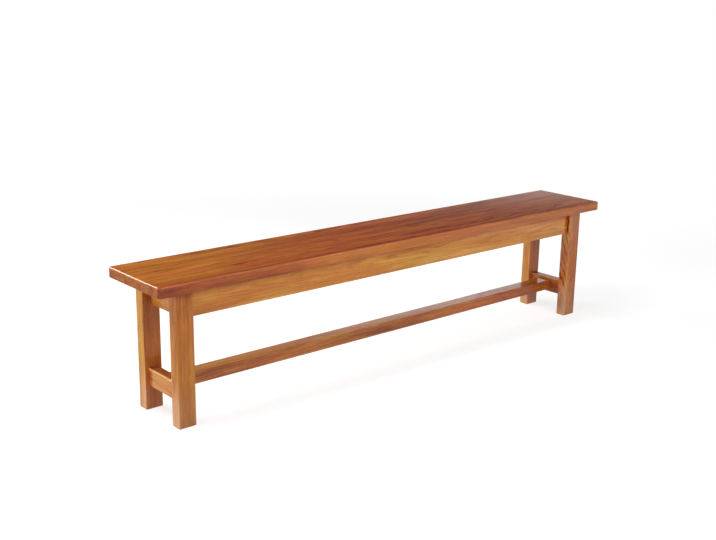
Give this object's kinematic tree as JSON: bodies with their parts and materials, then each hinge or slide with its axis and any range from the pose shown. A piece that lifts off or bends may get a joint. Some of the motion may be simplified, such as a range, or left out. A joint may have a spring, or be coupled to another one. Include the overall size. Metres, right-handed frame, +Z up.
{
  "type": "backless oak bench",
  "caption": "Long backless oak bench: flat edge-glued seat on rectangular legs, with deep rails under the seat and an H-shaped set of stretchers near the floor.",
  "frame": {"origin": "on the floor under the middle of the seat", "axes": "+X along the bench to the viewer's right, +Y from the front to the back, +Z up"},
  "size_m": [2, 0.3, 0.46],
  "materials": {
    "seat_oak": "honey to red brown stained oak, satin to gloss lacquer, lengthwise grain",
    "leg_oak": "stained oak under satin lacquer, upright grain",
    "rail_oak": "golden stained oak under satin lacquer, lengthwise grain",
    "stretcher_oak": "stained oak under satin lacquer, lengthwise grain",
    "bare_oak": "planed oak without stain, inside the frame",
    "screw_steel": "zinc-plated steel wood screws"
  },
  "bodies": {
    "root": {"back_rail": "rail_oak", "bearer_screws": "screw_steel", "button_screws": "screw_steel", "corner_block_back_left": "bare_oak", "corner_block_back_right": "bare_oak", "corner_block_front_left": "bare_oak", "corner_block_front_right": "bare_oak", "corner_block_screws": "screw_steel", "front_rail": "rail_oak", "left_end_rail": "rail_oak", "left_end_stretcher": "stretcher_oak", "leg_back_left": "leg_oak", "leg_back_right": "leg_oak", "leg_front_left": "leg_oak", "leg_front_right": "leg_oak", "long_stretcher": "stretcher_oak", "right_end_rail": "rail_oak", "right_end_stretcher": "stretcher_oak", "seat_bearer_left": "bare_oak", "seat_bearer_right": "bare_oak", "seat_board_back": "seat_oak", "seat_board_front": "seat_oak", "seat_board_middle": "seat_oak", "seat_buttons": "bare_oak", "seat_tongue_back": "bare_oak", "seat_tongue_front": "bare_oak"}
  },
  "joints": []
}
